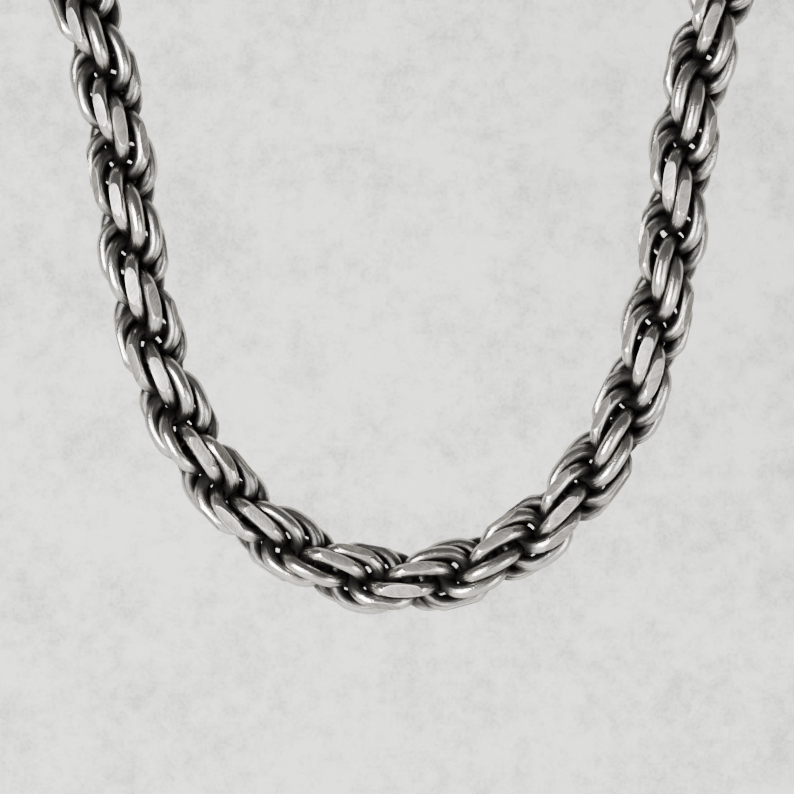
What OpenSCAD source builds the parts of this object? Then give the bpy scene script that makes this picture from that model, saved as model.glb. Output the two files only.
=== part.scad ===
// Rope chain of round links laid one after the other in a screw, worn round a neck and closed by a barrel clasp.
// Millimetres, +Z up, the wearer's front towards -Y.
// The origin is the point of the barrel that rests on the nape.

/* [Link] */
// Diameter of the wire that a link is bent from
wire_d = 0.9; // [0.7:0.02:0.92]
// Diameter of a link from wire middle to wire middle
link_d = 8.18; // [8.14:0.01:8.22]
// Depth of metal ground away at a flat
flat_depth = 0.36; // [0.1:0.02:0.4]

/* [Rope] */
// Number of steps from one end loop of the clasp to the other, where each step takes one link
steps = 228; // [226:2:228]
// Turn of the rope from one link to the next
link_turn = 37.3; // [37:0.1:38]
// Turn of the clasp's first end loop, from facing straight away from the neck
start_turn = 126; // [0:1:179]
// Distance between the planes of the even and the odd links, which lie on either side of the rope's middle
side_step = 0.92; // [0.86:0.02:1]
// How many of five outer sides in a row have a flat
flats_in_five = 3; // [0:1:5]

/* [Clasp] */
// Diameter of the barrel
barrel_d = 10; // [9.6:0.1:12]
// Length of the barrel
barrel_len = 18; // [16:0.5:20]
// Height of the bevel at each end of the barrel
bevel = 1; // [0.4:0.1:1.2]
// How far the middle of an end loop stands out of the barrel
loop_lead = 0.2; // [0.1:0.1:0.6]

/* [Hidden] */

// Chosen points of the rope's middle line, measured from the middle of the barrel.
// They run from the lowest point of the front up the right side to the nape, and the left side mirrors them.
FRONT_TO_NAPE = [
  [0, -117, -147],
  [6, -117, -146.3],
  [16.7, -117, -141],
  [25, -117, -132.3],
  [30.5, -117, -121.6],
  [33.7, -117, -110],
  [35.5, -117, -98],
  [37.3, -117, -86],
  [40.2, -117, -74.5],
  [44.5, -115.5, -63.5],
  [49.5, -110, -53],
  [54.5, -99, -43],
  [58, -83, -33.5],
  [58.5, -64, -25],
  [55, -44, -17],
  [47, -25.5, -10],
  [34.5, -11, -4.5],
  [18, -2.5, -1],
  [0, 0, 0]
];

link_r = link_d / 2;
flat_reach = link_r + wire_d / 2 - flat_depth;
barrel_middle = [0, barrel_d / 2, 0];

// The smooth line through the points, and how far along it each of its samples lies
span_steps = 12;
tangent_reach = 1.5;
last_point = len(FRONT_TO_NAPE) - 1;
knots = concat(
  [for (i = [last_point : -1 : 1]) [-FRONT_TO_NAPE[i].x, FRONT_TO_NAPE[i].y, FRONT_TO_NAPE[i].z]],
  FRONT_TO_NAPE
);
last_knot = len(knots) - 1;

function unit(v) = v / norm(v);
function square_to(v, t) = unit(v - (v * t) * t);
function before(i) = i == 0 ? knots[last_knot - 1] : knots[i - 1];
function after(i) = i == last_knot ? knots[1] : knots[i + 1];
function slope(i) =
  let (back = knots[i] - before(i), ahead = after(i) - knots[i], a = norm(back), b = norm(ahead))
  (back * b / a + ahead * a / b) / (a + b);
function on_span(i, t) =
  let (chord = norm(knots[i + 1] - knots[i]))
  (2 * pow(t, 3) - 3 * pow(t, 2) + 1) * knots[i]
  + (pow(t, 3) - 2 * pow(t, 2) + t) * chord * slope(i)
  + (3 * pow(t, 2) - 2 * pow(t, 3)) * knots[i + 1]
  + (pow(t, 3) - pow(t, 2)) * chord * slope(i + 1);

line = concat(
  [for (i = [0 : last_knot - 1]) for (j = [0 : span_steps - 1]) on_span(i, j / span_steps)],
  [knots[last_knot]]
);
last_sample = len(line) - 1;
step_lengths = [for (i = [0 : last_sample - 1]) norm(line[i + 1] - line[i])];
travel = [for (i = 0, s = 0; i <= last_sample; s = s + (i < last_sample ? step_lengths[i] : 0), i = i + 1) s];
line_len = travel[last_sample];
x_table = [for (i = [0 : last_sample]) [travel[i], line[i].x]];
y_table = [for (i = [0 : last_sample]) [travel[i], line[i].y]];
z_table = [for (i = [0 : last_sample]) [travel[i], line[i].z]];

function place(s) = [lookup(s, x_table), lookup(s, y_table), lookup(s, z_table)];
function heading(s) = unit(place(min(s + tangent_reach, line_len)) - place(max(s - tangent_reach, 0)));

// A direction that points away from the neck at the nape and is carried along the line without twisting round it
headings = [for (s = travel) heading(s)];
carried = [
  for (
    i = 0, n = square_to([0, 1, 0], headings[0]);
    i <= last_sample;
    n = square_to(n, headings[min(i + 1, last_sample)]), i = i + 1
  ) n
];
carried_x = [for (i = [0 : last_sample]) [travel[i], carried[i].x]];
carried_y = [for (i = [0 : last_sample]) [travel[i], carried[i].y]];
carried_z = [for (i = [0 : last_sample]) [travel[i], carried[i].z]];

function outward(s) = square_to([lookup(s, carried_x), lookup(s, carried_y), lookup(s, carried_z)], heading(s));

// Steps 0 and the last are the clasp's end loops.
// The steps next to them stay free for the barrel, so the first loose link is the one that an end loop holds.
loop_place = barrel_len / 2 + loop_lead;
step_len = (line_len - 2 * loop_place) / steps;
first_link = 3;
last_link = steps - first_link;
middle_link = steps / 2;

// Sets its children on the rope at a step: x across, y along the rope, z square to the link's plane
module at_step(k) {
  s = loop_place + k * step_len;
  p = place(s);
  t = heading(s);
  n = outward(s);
  turn = start_turn - k * link_turn;
  u = cos(turn) * n + sin(turn) * cross(t, n);
  v = cross(t, u);
  multmatrix([
    [v.x, t.x, u.x, p.x],
    [v.y, t.y, u.y, p.y],
    [v.z, t.z, u.z, p.z],
    [0, 0, 0, 1]
  ])
    translate([0, 0, (k % 2 - 0.5) * side_step])
      children();
}

module ring() {
  rotate_extrude($fn = 48)
    translate([link_r, 0])
      circle(d = wire_d, $fn = 24);
}

function has_flat(number) = (number * 2) % 5 < flats_in_five;

// A link, whose outer sides are numbered so that about three in five are ground flat
module link(k) {
  difference() {
    ring();
    for (side = [0, 1])
      if (has_flat(2 * k + side))
        rotate([0, 0, side * 180])
          translate([flat_reach, -link_r, -wire_d])
            cube([2 * wire_d, 2 * link_r, 2 * wire_d]);
  }
}

module barrel() {
  rotate([0, 90, 0]) {
    cylinder(d = barrel_d, h = barrel_len - 2 * bevel, center = true, $fn = 64);
    for (side = [0, 1])
      rotate([0, side * 180, 0])
        translate([0, 0, barrel_len / 2 - bevel])
          cylinder(d1 = barrel_d, d2 = barrel_d - 2 * bevel, h = bevel, $fn = 64);
  }
}

module chain_left() {
  color([0.56, 0.55, 0.53])
    translate(barrel_middle)
      for (k = [first_link : middle_link])
        at_step(k)
          link(k);
}

module chain_right() {
  color([0.56, 0.55, 0.53])
    translate(barrel_middle)
      for (k = [middle_link + 1 : last_link])
        at_step(k)
          link(k);
}

module clasp() {
  color([0.62, 0.61, 0.59])
    translate(barrel_middle) {
      barrel();
      at_step(0)
        ring();
      at_step(steps)
        ring();
    }
}

chain_left();
chain_right();
clasp();
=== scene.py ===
"""Visual model and photo stage of a heavy rope chain, laid out as a Blender add-on."""

import math
from typing import NamedTuple

import bpy
import numpy as np
from bpy.props import FloatProperty, FloatVectorProperty, IntProperty, PointerProperty
from bpy.types import Operator, Panel, PropertyGroup
from mathutils import Color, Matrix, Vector


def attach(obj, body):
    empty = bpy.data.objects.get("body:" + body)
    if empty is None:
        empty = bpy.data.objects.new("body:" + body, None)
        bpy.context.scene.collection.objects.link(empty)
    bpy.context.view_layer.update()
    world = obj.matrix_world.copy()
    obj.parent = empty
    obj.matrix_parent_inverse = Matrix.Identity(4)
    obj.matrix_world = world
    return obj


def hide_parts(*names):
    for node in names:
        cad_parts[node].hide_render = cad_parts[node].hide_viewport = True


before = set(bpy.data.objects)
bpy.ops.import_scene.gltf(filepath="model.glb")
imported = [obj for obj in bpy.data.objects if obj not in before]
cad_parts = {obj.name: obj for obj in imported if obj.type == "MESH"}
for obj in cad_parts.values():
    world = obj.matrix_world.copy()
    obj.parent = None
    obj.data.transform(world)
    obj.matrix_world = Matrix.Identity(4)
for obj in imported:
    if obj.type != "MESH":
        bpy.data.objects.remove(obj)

bl_info = {
    "name": "Rope Chain",
    "version": (1, 0, 0),
    "blender": (4, 5, 0),
    "location": "3D View > Sidebar > Rope Chain",
    "description": "Builds a left-handed rope chain with a barrel clasp and a pale studio round it",
    "category": "Add Mesh",
}

# One millimetre, in metres
MM = 0.001

# Chosen points of the rope's middle line in metres, from the middle of the barrel.
# They run from the lowest point of the front up the right side to the nape.
FRONT_TO_NAPE = (
    (0, -0.117, -0.147),
    (0.006, -0.117, -0.1463),
    (0.0167, -0.117, -0.141),
    (0.025, -0.117, -0.1323),
    (0.0305, -0.117, -0.1216),
    (0.0337, -0.117, -0.11),
    (0.0355, -0.117, -0.098),
    (0.0373, -0.117, -0.086),
    (0.0402, -0.117, -0.0745),
    (0.0445, -0.1155, -0.0635),
    (0.0495, -0.11, -0.053),
    (0.0545, -0.099, -0.043),
    (0.058, -0.083, -0.0335),
    (0.0585, -0.064, -0.025),
    (0.055, -0.044, -0.017),
    (0.047, -0.0255, -0.01),
    (0.0345, -0.011, -0.0045),
    (0.018, -0.0025, -0.001),
    (0, 0, 0),
)
# Samples of the smooth line from one chosen point to the next
SPAN_STEPS = 12
# How far before and after a place the line's direction is taken
TANGENT_REACH = 0.0015
# The steps next to the end loops stay free for the barrel
FIRST_LINK = 3

# What each fixed draw of a link decides
DRAW_WANDER, DRAW_TURN, DRAW_TIP, DRAW_TONE, DRAW_DEPTH = 1, 2, 3, 4, 5

FRONT_DETAIL = (60, 18)
BACK_DETAIL = (40, 12)
# How many links on either side of the lowest one have the front's detail
FRONT_LINKS = 62

# Samples of a quarter link, from which its rows are taken, and of the whole ring of a link's wire
QUARTER_SAMPLES = 2000
RING_SAMPLES = 40

# Vertices across a ground flat
FLAT_POINTS = 5
# Height of a flat's crown
FLAT_CROWN = 0.00005
# How far a flat may lie out of its set place
FLAT_VARIATION = 0.0001
# Least half-width of a flat, as an angle round the wire
LEAST_FLAT = 0.12
# Least share of the wire's outward direction that points across the link where it has a flat
FLAT_FACING = 0.3
# Share of a quarter link's rows that lie on its flat, and how they crowd towards the flat's end
FLAT_ROWS = 0.42
FLAT_CROWDING = 1.6
# Brightness of a flat's rim at the tips of the flat, where the rim is polish with a painted
# highlight on it
TIP_RIM_POLISH_AND_HIGHLIGHT = 0.4

# Where wear begins and is full: distance from the rope's middle, facing outward, and air round it
WORN_DISTANCE = (0.0019, 0.0042)
WORN_FACING = (-0.2, 0.9)
WORN_AIR = (-0.0005, 0.0006)
# Neighbours on either side of a link that can shelter it from wear
NEIGHBOURS = 6

# How far each link's map is moved along from the last one's, so that their streaks differ
MAP_SHIFT = 0.031
# Edges steeper than this are shaded as edges
SHARP_ANGLE = math.radians(30)

# Scale, detail and share of each layer of the plaster's clouds
PLASTER_CLOUDS = (
    (12.0, 1.0, 0.16),
    (110.0, 4.0, 0.32),
    (380.0, 4.0, 0.32),
    (1700.0, 1.0, 0.2),
)


# Settings

class RopeSettings(PropertyGroup):
    """Sizes of the links and how the rope is laid"""

    wire_d: FloatProperty(
        name="Wire diameter",
        description="Diameter of the wire that a link is bent from",
        default=0.00194, min=0.0012, max=0.0022, unit="LENGTH", precision=5)
    link_width: FloatProperty(
        name="Link width",
        description="Width of a link from wire middle to wire middle",
        default=0.0073, min=0.006, max=0.0085, unit="LENGTH", precision=5)
    link_length: FloatProperty(
        name="Link length",
        description="Length of a link from wire middle to wire middle",
        default=0.0079, min=0.0073, max=0.0085, unit="LENGTH", precision=5)
    fullness: FloatProperty(
        name="Fullness",
        description="How full a link's corners are, where 2 is a plain oval",
        default=2.5, min=2, max=4)
    flat_reach: FloatProperty(
        name="Flat reach",
        description="Distance of a ground flat from the rope's middle line",
        default=0.00426, min=0.0038, max=0.0046, unit="LENGTH", precision=5)
    steps: IntProperty(
        name="Steps",
        description="Number of steps from one end loop of the clasp to the other",
        default=228, min=226, max=232)
    link_turn: FloatProperty(
        name="Turn per link",
        description="Turn of the rope from one link to the next",
        default=math.radians(37.3), subtype="ANGLE")
    start_turn: FloatProperty(
        name="First turn",
        description="Turn of the clasp's first end loop, from facing away from the neck",
        default=math.radians(126), subtype="ANGLE")
    side_step: FloatProperty(
        name="Side step",
        description="Distance between the planes of the even and the odd links",
        default=0.0003, min=0, max=0.002, unit="LENGTH", precision=5)
    flats_in_five: IntProperty(
        name="Flats in five",
        description="How many of five outer sides in a row have a ground flat",
        default=3, min=0, max=5)
    wander: FloatProperty(
        name="Wander",
        description="How far a link may lie out of its exact place along the rope",
        default=0.00018, min=0, max=0.0005, unit="LENGTH", precision=5)
    sway: FloatProperty(
        name="Sway",
        description="How far a link may be turned or tipped out of its exact place",
        default=math.radians(2.2), subtype="ANGLE")


class ClaspSettings(PropertyGroup):
    """Sizes of the barrel clasp"""

    barrel_d: FloatProperty(
        name="Barrel diameter",
        description="Diameter of the barrel",
        default=0.01, min=0.0096, max=0.012, unit="LENGTH", precision=5)
    barrel_len: FloatProperty(
        name="Barrel length",
        description="Length of the barrel",
        default=0.018, min=0.016, max=0.02, unit="LENGTH", precision=5)
    bevel: FloatProperty(
        name="Bevel",
        description="Height of the rounded bevel at each end of the barrel",
        default=0.001, min=0.0004, max=0.0012, unit="LENGTH", precision=5)
    loop_lead: FloatProperty(
        name="Loop lead",
        description="How far the middle of an end loop stands out of the barrel",
        default=0.0002, min=0.0001, max=0.0006, unit="LENGTH", precision=5)


class SilverSettings(PropertyGroup):
    """Colours of the darkened silver"""

    rubbed_colour: FloatVectorProperty(
        name="Rubbed",
        description="Colour of the outer sides that are rubbed bright",
        default=(0.6, 0.575, 0.535), min=0, max=1, subtype="COLOR")
    dark_colour: FloatVectorProperty(
        name="Dark",
        description="Colour of the tarnish in the hollows",
        default=(0.062, 0.0595, 0.056), min=0, max=1, subtype="COLOR")
    filed_colour: FloatVectorProperty(
        name="Filed",
        description="Colour of the ground flats between the file's lines",
        default=(0.47, 0.445, 0.41), min=0, max=1, subtype="COLOR")
    line_colour: FloatVectorProperty(
        name="File lines",
        description="Colour of the file's lines on the ground flats",
        default=(0.15, 0.14, 0.127), min=0, max=1, subtype="COLOR")
    # Near white on the rims round the flats: polish, and a painted highlight in place of the light
    # that a rounded edge would catch
    rim_polish_and_highlight_colour: FloatVectorProperty(
        name="Rims",
        description="Colour of the bright rims round the ground flats",
        default=(0.86, 0.835, 0.79), min=0, max=1, subtype="COLOR")


class StageSettings(PropertyGroup):
    """Backdrop, light and camera"""

    wall_colour: FloatVectorProperty(
        name="Wall colour",
        description="Colour of the plaster wall",
        default=(0.6, 0.597, 0.577), min=0, max=1, subtype="COLOR")
    key_power: FloatProperty(
        name="Key light",
        description="Power of the soft light from the front left",
        default=10.6, min=0, unit="POWER")
    fill_power: FloatProperty(
        name="Fill light",
        description="Power of the soft light from the lower right",
        default=2, min=0, unit="POWER")
    sky_strength: FloatProperty(
        name="Room light",
        description="Strength of the even light of the room",
        default=0.15, min=0)
    wall_glow: FloatProperty(
        name="Wall glow",
        description="Strength of the wall's own even light",
        default=1.0, min=0)
    camera_distance: FloatProperty(
        name="Camera distance",
        description="Distance of the camera from the hanging front",
        default=0.6, min=0.3, unit="LENGTH")
    picture_width: FloatProperty(
        name="Picture width",
        description="Width that the picture takes in at the hanging front",
        default=0.1024, min=0.05, unit="LENGTH", precision=5)


# The rope's route

def square_to(v, t):
    """The part of a direction that is square to another one, at length 1."""
    n = v - (v @ t) * t
    return n / np.linalg.norm(n)


class Route:
    """Smooth closed line through the chosen points, measured along its length."""

    def __init__(self):
        half = np.array(FRONT_TO_NAPE)
        left = half[::-1] * (-1, 1, 1)
        knots = np.vstack([left[:-1], half])
        back = knots - np.vstack([knots[-2], knots[:-1]])
        ahead = np.vstack([knots[1:], knots[1]]) - knots
        a = np.linalg.norm(back, axis=1)[:, None]
        b = np.linalg.norm(ahead, axis=1)[:, None]
        slope = (back * b / a + ahead * a / b) / (a + b)
        t = (np.arange(SPAN_STEPS) / SPAN_STEPS)[:, None]
        spans = []
        for i in range(len(knots) - 1):
            chord = np.linalg.norm(knots[i + 1] - knots[i])
            spans.append(
                (2 * t**3 - 3 * t**2 + 1) * knots[i]
                + (t**3 - 2 * t**2 + t) * chord * slope[i]
                + (3 * t**2 - 2 * t**3) * knots[i + 1]
                + (t**3 - t**2) * chord * slope[i + 1]
            )
        self.line = np.vstack(spans + [knots[-1:]])
        lengths = np.linalg.norm(np.diff(self.line, axis=0), axis=1)
        self.travel = np.concatenate([[0], np.cumsum(lengths)])
        self.length = self.travel[-1]
        n = np.array([0, 1, 0])
        carried = []
        for s in self.travel:
            n = square_to(n, self.heading(s))
            carried.append(n)
        self.carried = np.array(carried)

    def at(self, s, samples):
        return np.array([np.interp(s, self.travel, samples[:, i]) for i in range(3)])

    def place(self, s):
        return self.at(s, self.line)

    def heading(self, s):
        """Direction of the line, from a little before to a little after a place."""
        after = self.place(min(s + TANGENT_REACH, self.length))
        t = after - self.place(max(s - TANGENT_REACH, 0))
        return t / np.linalg.norm(t)

    def outward(self, s):
        """Away from the neck at the nape, and carried along the line without twisting."""
        return square_to(self.at(s, self.carried), self.heading(s))


def chance(k, draw):
    """A fixed number from -1 to 1 for each link and draw."""
    x = math.sin(k * 12.9898 + draw * 78.233) * 43758.5453
    return 2 * (x - math.floor(x)) - 1


def is_loose(rope, k):
    """Whether a step holds a loose link, and not an end loop of the clasp."""
    return 0 < k < rope.steps


def has_flat(rope, side_number):
    """Whether an outer side is ground flat, with the sides numbered along the rope."""
    return (side_number * 2) % 5 < rope.flats_in_five


class Seat(NamedTuple):
    """Where a link sits: its centre and axes, and the rope's middle and direction there."""

    centre: np.ndarray
    across: np.ndarray
    along: np.ndarray
    square: np.ndarray
    rope_middle: np.ndarray
    rope_heading: np.ndarray


def link_seats(rope, clasp):
    """Seats of the two end loops and of each link, by step."""
    route = Route()
    barrel_middle = np.array([0, clasp.barrel_d / 2, 0])
    lead = clasp.barrel_len / 2 + clasp.loop_lead
    step = (route.length - 2 * lead) / rope.steps
    seats = {}
    for k in [0, *range(FIRST_LINK, rope.steps - FIRST_LINK + 1), rope.steps]:
        loose = is_loose(rope, k)
        s = lead + k * step + (rope.wander * chance(k, DRAW_WANDER) if loose else 0)
        turn = rope.start_turn - k * rope.link_turn
        turn += rope.sway * chance(k, DRAW_TURN) if loose else 0
        tip = rope.sway * chance(k, DRAW_TIP) if loose else 0
        t, n = route.heading(s), route.outward(s)
        u = math.cos(turn) * n + math.sin(turn) * np.cross(t, n)
        middle = route.place(s) + barrel_middle
        seats[k] = Seat(
            centre=middle + (k % 2 - 0.5) * rope.side_step * u,
            across=np.cross(t, u),
            along=math.cos(tip) * t + math.sin(tip) * u,
            square=math.cos(tip) * u - math.sin(tip) * t,
            rope_middle=middle,
            rope_heading=t,
        )
    return seats


# Meshes

def loop_outline(rope, turns):
    """Middle line of a link's wire and its outward direction, at the given angles."""
    half_w, half_l, power = rope.link_width / 2, rope.link_length / 2, 2 / rope.fullness
    cos, sin = np.cos(turns), np.sin(turns)
    x = half_w * np.sign(cos) * np.abs(cos) ** power
    y = half_l * np.sign(sin) * np.abs(sin) ** power
    out_x = np.sign(cos) * np.abs(cos) ** (2 - power) / half_w
    out_y = np.sign(sin) * np.abs(sin) ** (2 - power) / half_l
    size = np.hypot(out_x, out_y)
    return x, y, out_x / size, out_y / size


def loop_rows(rope, flat_reach, rows):
    """Rows round a link, set out between the ends of its flats and its tips."""
    fine = np.linspace(0, math.pi / 2, QUARTER_SAMPLES)
    x, y, out_x, out_y = loop_outline(rope, fine)
    arc = np.concatenate([[0], np.cumsum(np.hypot(np.diff(x), np.diff(y)))])
    flat_end = arc[np.argmax(x + rope.wire_d / 2 * out_x < flat_reach)]
    quarter = rows // 4
    on_flat = max(3, round(quarter * FLAT_ROWS))
    part = np.arange(on_flat) / on_flat
    marks = np.concatenate([
        flat_end * (1 - (1 - part) ** FLAT_CROWDING),
        np.linspace(flat_end, arc[-1], quarter - on_flat + 1),
    ])
    columns = np.column_stack([np.interp(marks, arc, c) for c in (x, y, out_x, out_y)])
    columns[0, 3], columns[-1, 2] = 0, 0
    flip_y, flip_x = np.array([1, -1, 1, -1]), np.array([-1, 1, -1, 1])
    loop = np.vstack([
        columns[:-1],
        (columns * flip_x)[::-1][:-1],
        (columns * flip_x * flip_y)[:-1],
        (columns * flip_y)[::-1][:-1],
    ])
    return loop.T


class Wire(NamedTuple):
    """One link in its own axes: its vertices, its flats and their rims, which are polished and
    carry a painted highlight, and its map.
    """

    verts: np.ndarray
    ground: np.ndarray
    rim_polish_and_highlight: np.ndarray
    along_map: np.ndarray
    round_map: np.ndarray


def wire_link(rope, flats, flat_reach, rows, sides):
    """A link bent from wire and ground flat on the sides that have a flat."""
    wire = rope.wire_d / 2
    mx, my, out_x, out_y = loop_rows(rope, flat_reach, rows)
    plain_reach = math.pi * (FLAT_POINTS - 1) / sides
    verts = np.zeros((rows, sides, 3))
    ground = np.zeros((rows, sides))
    rim_polish_and_highlight = np.zeros((rows, sides))
    round_map = np.zeros((rows, sides))
    for i in range(rows):
        cut = None
        if flats[0 if out_x[i] > 0 else 1] and abs(out_x[i]) > FLAT_FACING:
            # Height of the flat over the wire's middle, where 1 only touches the wire
            height = (flat_reach - abs(mx[i])) / (wire * abs(out_x[i]))
            if height < 1 + 1e-3:
                cut = math.acos(max(-1, min(1, height)))
        reach = plain_reach if cut is None else max(cut, LEAST_FLAT)
        phi = np.concatenate([
            np.linspace(-reach, reach, FLAT_POINTS),
            np.linspace(reach, 2 * math.pi - reach, sides - FLAT_POINTS + 2)[1:-1],
        ])
        out = wire * np.cos(phi)
        x, y, z = mx[i] + out * out_x[i], my[i] + out * out_y[i], wire * np.sin(phi)
        if cut is not None:
            crown = FLAT_CROWN * (1 - np.linspace(-1, 1, FLAT_POINTS) ** 2) * min(1, cut)
            level = np.minimum(np.abs(x[:FLAT_POINTS]), flat_reach + crown)
            x[:FLAT_POINTS] = np.copysign(level, out_x[i])
            ground[i, :FLAT_POINTS] = 1
            # The flat's edge vertices get a bright rim: polish, and a painted highlight in place of
            # a rounded edge
            rim_polish_and_highlight[i, [0, FLAT_POINTS - 1]] = min(1, TIP_RIM_POLISH_AND_HIGHLIGHT + cut)
        verts[i] = np.column_stack([x, y, z])
        round_map[i] = phi * wire
    along = np.hypot(np.roll(mx, -1) - mx, np.roll(my, -1) - my)
    along_map = np.concatenate([[0], np.cumsum(along)])
    return Wire(verts, ground, rim_polish_and_highlight, along_map, round_map)


def smooth(x, low, high):
    t = np.clip((x - low) / (high - low), 0, 1)
    return t * t * (3 - 2 * t)


def nearest_gap(points, loops, wire):
    """Distance from each point to the nearest surface of the neighbouring wires."""
    best = np.full(len(points), 1.0)
    for loop in loops:
        d = ((points[:, None, :] - loop[None, :, :]) ** 2).sum(-1).min(1)
        best = np.minimum(best, np.sqrt(d) - wire)
    return best


def outward_normals(grid, ring):
    """Normals of a link's vertices, turned away from the middle line of its wire."""
    points = grid.reshape(-1, 3)
    across = np.roll(grid, -1, 1) - np.roll(grid, 1, 1)
    ahead = np.roll(grid, -1, 0) - np.roll(grid, 1, 0)
    normal = np.cross(ahead, across).reshape(-1, 3)
    near = points - ring[((points[:, None, :] - ring[None]) ** 2).sum(-1).argmin(1)]
    sign = np.sign((normal * near).sum(1))
    return normal * (sign / np.maximum(np.linalg.norm(normal, axis=1), 1e-12))[:, None]


def wear(rope, grid, seat, ring, neighbours):
    """How much each vertex is rubbed: outer sides that face outward with air round them."""
    points = grid.reshape(-1, 3)
    radial = points - seat.rope_middle
    radial -= (radial @ seat.rope_heading)[:, None] * seat.rope_heading
    far = np.linalg.norm(radial, axis=1)
    facing = (outward_normals(grid, ring) * radial).sum(1) / np.maximum(far, 1e-9)
    gap = nearest_gap(points, neighbours, rope.wire_d / 2)
    return smooth(far, *WORN_DISTANCE) * smooth(facing, *WORN_FACING) * smooth(gap, *WORN_AIR)


def wire_map(k, wire, rope):
    """Map of a link's faces, along the wire and round it."""
    rows, sides = wire.ground.shape
    start = np.broadcast_to(wire.along_map[:-1, None], (rows, sides)) + k * MAP_SHIFT
    end = np.broadcast_to(wire.along_map[1:, None], (rows, sides)) + k * MAP_SHIFT
    low = wire.round_map
    high = np.roll(low, -1, 1)
    high[:, -1] += math.pi * rope.wire_d
    corners = (
        (start, low), (end, np.roll(low, -1, 0)), (end, np.roll(high, -1, 0)), (start, high),
    )
    return np.stack([np.stack(corner, -1) for corner in corners], 2).reshape(-1, 2)


def links_mesh(name, rope, seats, keys, detail):
    """One mesh of many links. detail(k) gives the rows and sides that a link is made of."""
    turns = np.linspace(0, 2 * math.pi, RING_SAMPLES, endpoint=False)
    mx, my, _, _ = loop_outline(rope, turns)
    rings = {
        k: seat.centre + mx[:, None] * seat.across + my[:, None] * seat.along
        for k, seat in seats.items()
    }
    verts, faces, uvs = [], [], []
    values = {"exposed": [], "ground": [], "rim_polish_and_highlight": [], "tone": []}
    first = 0
    for k in keys:
        seat = seats[k]
        flats = [is_loose(rope, k) and has_flat(rope, 2 * k + side) for side in (0, 1)]
        flat_reach = rope.flat_reach + FLAT_VARIATION * chance(k, DRAW_DEPTH)
        wire = wire_link(rope, flats, flat_reach, *detail(k))
        x, y, z = (wire.verts[..., i:i + 1] for i in range(3))
        grid = seat.centre + x * seat.across + y * seat.along + z * seat.square
        near_keys = range(k - NEIGHBOURS, k + NEIGHBOURS + 1)
        neighbours = [rings[j] for j in near_keys if j != k and j in rings]
        count = wire.ground.size
        index = np.arange(count).reshape(wire.ground.shape) + first
        right, down = np.roll(index, -1, 1), np.roll(index, -1, 0)
        faces.append(np.stack([index, down, np.roll(right, -1, 0), right], -1).reshape(-1, 4))
        verts.append(grid.reshape(-1, 3))
        uvs.append(wire_map(k, wire, rope))
        values["exposed"].append(wear(rope, grid, seat, rings[k], neighbours))
        values["ground"].append(wire.ground.ravel())
        values["rim_polish_and_highlight"].append(wire.rim_polish_and_highlight.ravel())
        values["tone"].append(np.full(count, chance(k, DRAW_TONE)))
        first += count
    mesh = mesh_of_quads(name, np.vstack(verts), np.vstack(faces))
    layer = mesh.uv_layers.new(name="Wire")
    layer.data.foreach_set("uv", (np.vstack(uvs) / MM).astype(np.float32).ravel())
    return finished_object(mesh, {key: np.concatenate(parts) for key, parts in values.items()})


def mesh_of_quads(name, verts, faces):
    mesh = bpy.data.meshes.new(name)
    mesh.vertices.add(len(verts))
    mesh.vertices.foreach_set("co", verts.astype(np.float32).ravel())
    mesh.loops.add(faces.size)
    mesh.loops.foreach_set("vertex_index", faces.astype(np.int32).ravel())
    mesh.polygons.add(len(faces))
    mesh.polygons.foreach_set("loop_start", np.arange(0, faces.size, 4, dtype=np.int32))
    mesh.polygons.foreach_set("loop_total", np.full(len(faces), 4, dtype=np.int32))
    mesh.update(calc_edges=True)
    mesh.validate()
    return mesh


def finished_object(mesh, values):
    """Object of a smooth-shaded silver mesh, with the values that its material reads."""
    for name, numbers in values.items():
        layer = mesh.attributes.new(name, "FLOAT", "POINT")
        layer.data.foreach_set("value", np.asarray(numbers, dtype=np.float32))
    mesh.polygons.foreach_set("use_smooth", np.ones(len(mesh.polygons), dtype=bool))
    mesh.set_sharp_from_angle(angle=SHARP_ANGLE)
    obj = bpy.data.objects.new(mesh.name, mesh)
    bpy.context.scene.collection.objects.link(obj)
    return obj


def barrel_profile(clasp):
    """Outline of the barrel from its left end to its right end, as places along and radii."""
    radius, half, bevel = clasp.barrel_d / 2, clasp.barrel_len / 2, clasp.bevel
    rounding = [
        (half - bevel + bevel * math.sin(a), radius - bevel + bevel * math.cos(a))
        for a in np.linspace(0, math.pi / 2, 7)
    ]
    end_face = [(half, (radius - bevel) * share) for share in (0.92, 0.6, 0.3, 0.02)]
    right = [(half - bevel - 0.2 * MM, radius), *rounding, *end_face]
    middle = [(x, radius) for x in np.linspace(-half + 3 * MM, half - 3 * MM, 7)]
    return [(-x, y) for x, y in right[::-1]] + middle + right


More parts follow.
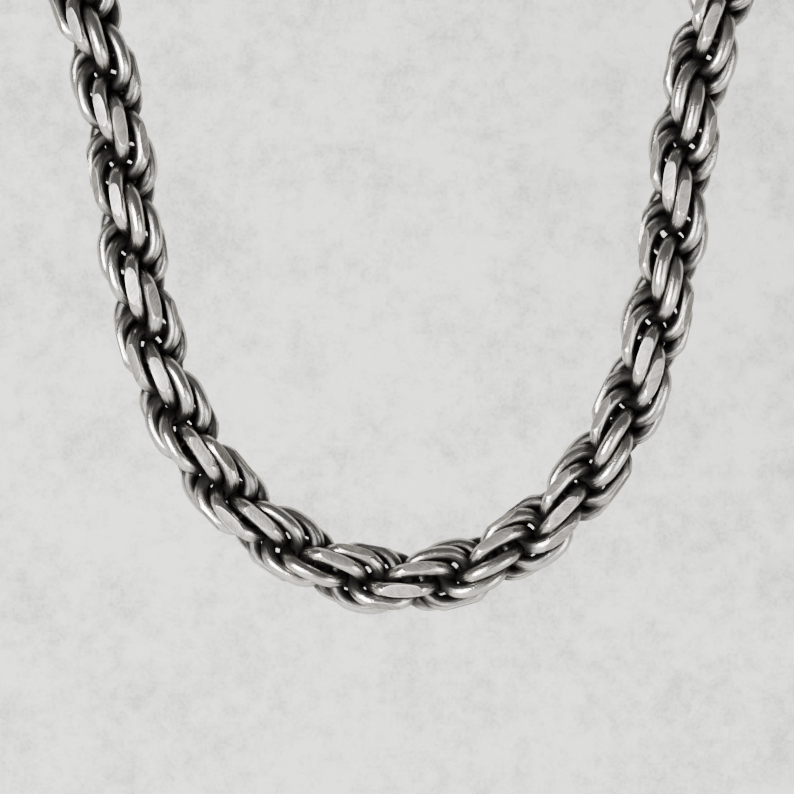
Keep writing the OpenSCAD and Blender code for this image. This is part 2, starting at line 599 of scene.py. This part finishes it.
def barrel_object(name, clasp):
    """Barrel along x, whose map runs round it and along it."""
    sides = 96
    axis_y = clasp.barrel_d / 2
    profile = barrel_profile(clasp)
    turns = np.linspace(0, 2 * math.pi, sides, endpoint=False)
    verts = [(x, y * math.cos(a) + axis_y, y * math.sin(a)) for x, y in profile for a in turns]
    index = np.arange(len(verts)).reshape(len(profile), sides)
    right = np.roll(index, -1, 1)
    faces = np.stack([index[:-1], index[1:], right[1:], right[:-1]], -1).reshape(-1, 4).tolist()
    faces += [index[0].tolist(), index[-1][::-1].tolist()]
    mesh = bpy.data.meshes.new(name)
    mesh.from_pydata(verts, [], faces)
    mesh.update()
    layer = mesh.uv_layers.new(name="Wire")
    co = np.array([v.co for v in mesh.vertices])
    for loop in mesh.loops:
        x, y, z = co[loop.vertex_index]
        layer.data[loop.index].uv = (math.atan2(z, y - axis_y) * clasp.barrel_d / 2 / MM, x / MM)
    past_bevel = np.abs(co[:, 0]) - (clasp.barrel_len / 2 - clasp.bevel)
    none = np.zeros(len(co))
    return finished_object(mesh, {
        "exposed": 0.8 - 0.35 * smooth(past_bevel, clasp.bevel * 0.9, clasp.bevel),
        "ground": none, "rim_polish_and_highlight": none, "tone": none,
    })


# Node groups and materials

def feed(tree, socket, value):
    """Set a socket to a number or a colour, or link it to another socket."""
    if isinstance(value, (int, float)):
        socket.default_value = value
    elif isinstance(value, (tuple, Color)):
        socket.default_value = (*value, 1)
    else:
        tree.links.new(value, socket)


def new_group(name, inputs, outputs):
    """A node group with named inputs and outputs, and the nodes that give and take them."""
    group = bpy.data.node_groups.new(name, "ShaderNodeTree")
    for label, kind, default in inputs:
        socket = group.interface.new_socket(label, in_out="INPUT", socket_type=kind)
        if default is not None:
            socket.default_value = default
    for label, kind in outputs:
        group.interface.new_socket(label, in_out="OUTPUT", socket_type=kind)
    return group, group.nodes.new("NodeGroupInput"), group.nodes.new("NodeGroupOutput")


def use_group(tree, group, **values):
    node = tree.nodes.new("ShaderNodeGroup")
    node.node_tree = group
    for name, value in values.items():
        feed(tree, node.inputs[name.replace("_", " ")], value)
    return node


def math_node(tree, kind, a, b):
    node = tree.nodes.new("ShaderNodeMath")
    node.operation = kind
    feed(tree, node.inputs[0], a)
    feed(tree, node.inputs[1], b)
    return node.outputs[0]


def range_node(tree, value, low, high, to_low=0.0, to_high=1.0, smoothly=False):
    node = tree.nodes.new("ShaderNodeMapRange")
    node.interpolation_type = "SMOOTHSTEP" if smoothly else "LINEAR"
    feed(tree, node.inputs["Value"], value)
    feed(tree, node.inputs["From Min"], low)
    feed(tree, node.inputs["From Max"], high)
    feed(tree, node.inputs["To Min"], to_low)
    feed(tree, node.inputs["To Max"], to_high)
    return node.outputs["Result"]


def mix_colour(tree, factor, a, b):
    node = tree.nodes.new("ShaderNodeMix")
    node.data_type = "RGBA"
    # A colour mix has its factor, first and second colour at these inputs
    for number, value in ((0, factor), (6, a), (7, b)):
        feed(tree, node.inputs[number], value)
    return node.outputs[2]


def noise_node(tree, vector, scale, detail, roughness=0.5):
    node = tree.nodes.new("ShaderNodeTexNoise")
    node.inputs["Scale"].default_value = scale
    node.inputs["Detail"].default_value = detail
    node.inputs["Roughness"].default_value = roughness
    tree.links.new(vector, node.inputs["Vector"])
    return node


def attribute(tree, name):
    node = tree.nodes.new("ShaderNodeAttribute")
    node.attribute_name = name
    return node.outputs["Fac"]


def drawn_lines_group():
    """Fine lines drawn out along one direction of the map, as left by a brush or a file."""
    group, given, result = new_group(
        "Drawn lines",
        [("Vector", "NodeSocketVector", None), ("Angle", "NodeSocketFloat", 0.0),
         ("Density", "NodeSocketFloat", 9.0), ("Length", "NodeSocketFloat", 0.5)],
        [("Value", "NodeSocketFloat")])
    turn = group.nodes.new("ShaderNodeVectorRotate")
    turn.rotation_type = "Z_AXIS"
    group.links.new(given.outputs["Vector"], turn.inputs["Vector"])
    group.links.new(given.outputs["Angle"], turn.inputs["Angle"])
    stretch = group.nodes.new("ShaderNodeCombineXYZ")
    group.links.new(given.outputs["Length"], stretch.inputs[0])
    group.links.new(given.outputs["Density"], stretch.inputs[1])
    scaled = group.nodes.new("ShaderNodeVectorMath")
    scaled.operation = "MULTIPLY"
    group.links.new(turn.outputs[0], scaled.inputs[0])
    group.links.new(stretch.outputs[0], scaled.inputs[1])
    noise = noise_node(group, scaled.outputs[0], 1.0, 3.0, 0.6)
    noise.noise_dimensions = "2D"
    lines = range_node(group, noise.outputs["Fac"], 0.28, 0.72)
    group.links.new(lines, result.inputs["Value"])
    return group


def patina_group():
    """Colour and roughness of silver, from black in the hollows to rubbed metal outside."""
    group, given, result = new_group(
        "Silver patina",
        [("Exposed", "NodeSocketFloat", 0.5), ("Streaks", "NodeSocketFloat", 0.5),
         ("Mottle", "NodeSocketFloat", 0.5), ("Tone", "NodeSocketFloat", 0.0),
         ("Rubbed Color", "NodeSocketColor", None), ("Dark Color", "NodeSocketColor", None)],
        [("Color", "NodeSocketColor"), ("Roughness", "NodeSocketFloat"),
         ("Mask", "NodeSocketFloat")])
    tone = math_node(group, "MULTIPLY", given.outputs["Tone"], 0.13)
    worn = math_node(group, "ADD", given.outputs["Exposed"], tone)
    for name in ("Streaks", "Mottle"):
        change = math_node(group, "SUBTRACT", given.outputs[name], 0.5)
        worn = math_node(group, "ADD", worn, math_node(group, "MULTIPLY", change, 0.6))
    mask = range_node(group, worn, 0.25, 1.02, smoothly=True)
    colour = mix_colour(group, mask, given.outputs["Dark Color"], given.outputs["Rubbed Color"])
    group.links.new(colour, result.inputs["Color"])
    group.links.new(range_node(group, mask, 0.0, 1.0, 0.42, 0.2), result.inputs["Roughness"])
    group.links.new(mask, result.inputs["Mask"])
    return group


def shared_group(name, make):
    return bpy.data.node_groups.get(name) or make()


def silver_material(name, finish):
    """Darkened silver with streaks along the wire, and filed flats where the mesh says so, whose
    rims are polished and carry a painted highlight.
    """
    material = bpy.data.materials.new(name)
    material.use_nodes = True
    tree = material.node_tree
    shader = tree.nodes["Principled BSDF"]
    shader.inputs["Metallic"].default_value = 1.0
    # Dark tint of the grazing reflections, so that the rope's silhouettes look dark: painted shade
    # in place of the dark surroundings that the metal would reflect
    shader.inputs["Specular Tint"].default_value = (0.2, 0.195, 0.19, 1)
    uv = tree.nodes.new("ShaderNodeUVMap")
    uv.uv_map = "Wire"
    place = tree.nodes.new("ShaderNodeTexCoord").outputs["Object"]
    mottle = noise_node(tree, place, 900.0, 4.0)

    lines = shared_group("Drawn lines", drawn_lines_group)
    streaks = use_group(tree, lines, Vector=uv.outputs[0], Density=4.2, Length=0.22)
    filed = use_group(
        tree, lines, Vector=uv.outputs[0], Angle=math.radians(52), Density=6.5, Length=0.5)
    silver = use_group(
        tree, shared_group("Silver patina", patina_group),
        Exposed=attribute(tree, "exposed"), Streaks=streaks.outputs[0],
        Mottle=mottle.outputs["Fac"], Tone=attribute(tree, "tone"),
        Rubbed_Color=finish.rubbed_colour, Dark_Color=finish.dark_colour)

    ground = range_node(tree, attribute(tree, "ground"), 0.86, 0.98)
    # Painted highlight on the rims of the flats, together with their polish
    rim_polish_and_highlight = range_node(tree, attribute(tree, "rim_polish_and_highlight"), 0.6, 0.96)
    filed_mask = math_node(
        tree, "ADD", math_node(tree, "MULTIPLY", filed.outputs[0], 0.7),
        range_node(tree, mottle.outputs["Fac"], 0.35, 0.65, 0.0, 0.35))
    filed_colour = mix_colour(tree, filed_mask, finish.line_colour, finish.filed_colour)
    body_colour = mix_colour(tree, ground, silver.outputs["Color"], filed_colour)
    colour = mix_colour(tree, rim_polish_and_highlight, body_colour, finish.rim_polish_and_highlight_colour)
    tree.links.new(colour, shader.inputs["Base Color"])
    filed_roughness = range_node(tree, filed_mask, 0.0, 1.0, 0.58, 0.44)
    roughness = range_node(
        tree, ground, 0.0, 1.0, silver.outputs["Roughness"], filed_roughness)
    tree.links.new(roughness, shader.inputs["Roughness"])

    bump = tree.nodes.new("ShaderNodeBump")
    bump.inputs["Strength"].default_value = 0.25
    bump.inputs["Distance"].default_value = 0.05 * MM
    height = math_node(tree, "ADD", streaks.outputs[0], filed.outputs[0])
    tree.links.new(height, bump.inputs["Height"])
    tree.links.new(bump.outputs[0], shader.inputs["Normal"])
    return material


def plaster_material(name, colour, glow):
    """Pale plaster that the camera sees through from behind."""
    material = bpy.data.materials.new(name)
    material.use_nodes = True
    tree = material.node_tree
    shader = tree.nodes["Principled BSDF"]
    shader.inputs["Roughness"].default_value = 0.9
    shader.inputs["Emission Strength"].default_value = glow
    place = tree.nodes.new("ShaderNodeTexCoord").outputs["Object"]
    clouds = None
    for scale, detail, share in PLASTER_CLOUDS:
        noise = noise_node(tree, place, scale, detail, 0.6)
        layer = math_node(tree, "MULTIPLY", noise.outputs["Fac"], share)
        clouds = layer if clouds is None else math_node(tree, "ADD", clouds, layer)
    light = tuple(min(1, c * 1.06) for c in colour)
    dark = tuple(c * 0.62 for c in colour)
    plaster = mix_colour(tree, range_node(tree, clouds, 0.42, 0.56), dark, light)
    tree.links.new(plaster, shader.inputs["Base Color"])
    tree.links.new(plaster, shader.inputs["Emission Color"])

    clear = tree.nodes.new("ShaderNodeBsdfTransparent")
    back = tree.nodes.new("ShaderNodeNewGeometry").outputs["Backfacing"]
    seen = tree.nodes.new("ShaderNodeLightPath").outputs["Is Camera Ray"]
    mix = tree.nodes.new("ShaderNodeMixShader")
    tree.links.new(math_node(tree, "MULTIPLY", back, seen), mix.inputs[0])
    tree.links.new(shader.outputs[0], mix.inputs[1])
    tree.links.new(clear.outputs[0], mix.inputs[2])
    tree.links.new(mix.outputs[0], tree.nodes["Material Output"].inputs["Surface"])
    return material


# The stage

def stage_object(name, verts, faces, material):
    mesh = bpy.data.meshes.new(name)
    mesh.from_pydata(verts, [], faces)
    mesh.polygons.foreach_set("use_smooth", np.ones(len(mesh.polygons), dtype=bool))
    mesh.update()
    obj = bpy.data.objects.new(name, mesh)
    bpy.context.scene.collection.objects.link(obj)
    obj.data.materials.append(material)
    return obj


def build_backdrop(settings):
    """Wall behind the nape that curves into a floor, and a far round wall for the camera alone."""
    material = plaster_material("Plaster", settings.wall_colour, settings.wall_glow)
    wall_y, wall_top, half_width = 0.05, 1.2, 5
    floor_z, floor_front, bend = -0.5, -5, 0.25
    profile = [(wall_y, wall_top), (wall_y, floor_z + bend)]
    for a in np.linspace(0, math.pi / 2, 14)[1:]:
        y = wall_y - bend + bend * math.cos(a)
        profile.append((y, floor_z + bend - bend * math.sin(a)))
    profile.append((floor_front, floor_z))
    verts = [(side * half_width, y, z) for y, z in profile for side in (-1, 1)]
    faces = [(2 * i, 2 * i + 1, 2 * i + 3, 2 * i + 2) for i in range(len(profile) - 1)]
    wall = stage_object("backdrop", verts, faces, material)
    if wall.data.polygons[0].normal.y > 0:
        wall.data.flip_normals()

    far_radius, far_top, sides = 4.8, 6, 64
    turns = np.linspace(0, 2 * math.pi, sides, endpoint=False)
    verts = [
        (far_radius * math.cos(a), far_radius * math.sin(a), z)
        for z in (floor_z, far_top) for a in turns
    ]
    faces = []
    for i in range(sides):
        after = (i + 1) % sides
        faces.append((after, i, i + sides, after + sides))
    far = stage_object("far_wall", verts, faces, material)
    far.visible_diffuse = far.visible_glossy = far.visible_shadow = False


def build_lights(scene, settings):
    """Even light of the room, and two soft lights that face the hanging front."""
    world = bpy.data.worlds.new("Studio room")
    world.use_nodes = True
    background = world.node_tree.nodes["Background"]
    background.inputs["Color"].default_value = (0.93, 0.935, 0.94, 1)
    background.inputs["Strength"].default_value = settings.sky_strength
    scene.world = world
    target = Vector((0, -0.1, -0.12))
    for name, place, size, power in (
        ("Key light", (-0.3, -0.6, -0.2), 0.22, settings.key_power),
        ("Fill light", (0.4, -0.5, -0.3), 0.25, settings.fill_power),
    ):
        light = bpy.data.lights.new(name, "AREA")
        light.shape = "SQUARE"
        light.size = size
        light.energy = power
        obj = bpy.data.objects.new(name, light)
        scene.collection.objects.link(obj)
        obj.location = place
        obj.rotation_euler = (target - Vector(place)).to_track_quat("-Z", "Y").to_euler()


def build_camera(scene, settings):
    """Level camera in front of the hanging front."""
    eye_x, front_y, eye_z = -0.0006, -0.112, -0.12325
    data = bpy.data.cameras.new("Photo camera")
    camera = bpy.data.objects.new("Photo camera", data)
    scene.collection.objects.link(camera)
    camera.location = (eye_x, front_y - settings.camera_distance, eye_z)
    camera.rotation_euler = (math.radians(90), 0, 0)
    data.sensor_width = 36
    data.lens = data.sensor_width * settings.camera_distance / settings.picture_width
    data.clip_start = 0.01
    scene.camera = camera


# Operators

class OBJECT_OT_rope_chain(Operator):
    """Build the two halves of the rope"""

    bl_idname = "object.rope_chain_build"
    bl_label = "Build Rope"

    def execute(self, context):
        rope = context.scene.rope_chain
        seats = link_seats(rope, context.scene.rope_clasp)
        middle = rope.steps // 2
        last = rope.steps - FIRST_LINK

        def detail(k):
            return FRONT_DETAIL if abs(k - middle) < FRONT_LINKS else BACK_DETAIL

        material = silver_material("Chain silver", context.scene.rope_silver)
        for name, node, keys in (
            ("rope_left", "chain_left", range(FIRST_LINK, middle + 1)),
            ("rope_right", "chain_right", range(middle + 1, last + 1)),
        ):
            obj = links_mesh(name, rope, seats, keys, detail)
            obj.data.materials.append(material)
            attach(obj, "root")
            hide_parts(node)
        return {"FINISHED"}


class OBJECT_OT_rope_clasp(Operator):
    """Build the barrel clasp with its two end loops"""

    bl_idname = "object.rope_clasp_build"
    bl_label = "Build Clasp"

    def execute(self, context):
        rope, clasp = context.scene.rope_chain, context.scene.rope_clasp
        seats = link_seats(rope, clasp)
        ends = (0, rope.steps)
        loops = links_mesh("clasp_loops", rope, seats, ends, lambda k: FRONT_DETAIL)
        barrel = barrel_object("barrel_clasp", clasp)
        material = silver_material("Clasp silver", context.scene.rope_silver)
        for obj in (loops, barrel):
            obj.data.materials.append(material)
        with context.temp_override(
                active_object=barrel, selected_editable_objects=[barrel, loops]):
            bpy.ops.object.join()
        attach(barrel, "root")
        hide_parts("clasp")
        return {"FINISHED"}


class OBJECT_OT_rope_stage(Operator):
    """Build the backdrop, the lights and the camera of the photo"""

    bl_idname = "object.rope_stage_build"
    bl_label = "Build Stage"

    def execute(self, context):
        settings = context.scene.rope_stage
        build_backdrop(settings)
        build_lights(context.scene, settings)
        build_camera(context.scene, settings)
        return {"FINISHED"}


# Panel and registration

class VIEW3D_PT_rope_chain(Panel):
    """Settings and build buttons of the rope chain"""

    bl_label = "Rope Chain"
    bl_space_type = "VIEW_3D"
    bl_region_type = "UI"
    bl_category = "Rope Chain"

    def draw(self, context):
        for title, settings, operator in (
            ("Rope", context.scene.rope_chain, OBJECT_OT_rope_chain),
            ("Clasp", context.scene.rope_clasp, OBJECT_OT_rope_clasp),
            ("Silver", context.scene.rope_silver, None),
            ("Stage", context.scene.rope_stage, OBJECT_OT_rope_stage),
        ):
            box = self.layout.box()
            box.label(text=title)
            for name in settings.bl_rna.properties.keys():
                if name not in {"rna_type", "name"}:
                    box.prop(settings, name)
            if operator:
                box.operator(operator.bl_idname)


CLASSES = (
    RopeSettings, ClaspSettings, SilverSettings, StageSettings,
    OBJECT_OT_rope_chain, OBJECT_OT_rope_clasp, OBJECT_OT_rope_stage, VIEW3D_PT_rope_chain,
)


def register():
    for cls in CLASSES:
        bpy.utils.register_class(cls)
    bpy.types.Scene.rope_chain = PointerProperty(type=RopeSettings)
    bpy.types.Scene.rope_clasp = PointerProperty(type=ClaspSettings)
    bpy.types.Scene.rope_silver = PointerProperty(type=SilverSettings)
    bpy.types.Scene.rope_stage = PointerProperty(type=StageSettings)


def unregister():
    del bpy.types.Scene.rope_stage
    del bpy.types.Scene.rope_silver
    del bpy.types.Scene.rope_clasp
    del bpy.types.Scene.rope_chain
    for cls in reversed(CLASSES):
        bpy.utils.unregister_class(cls)


def main():
    register()
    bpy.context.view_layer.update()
    bpy.ops.object.rope_chain_build()
    bpy.ops.object.rope_clasp_build()
    bpy.ops.object.rope_stage_build()


if __name__ == "__main__":
    main()
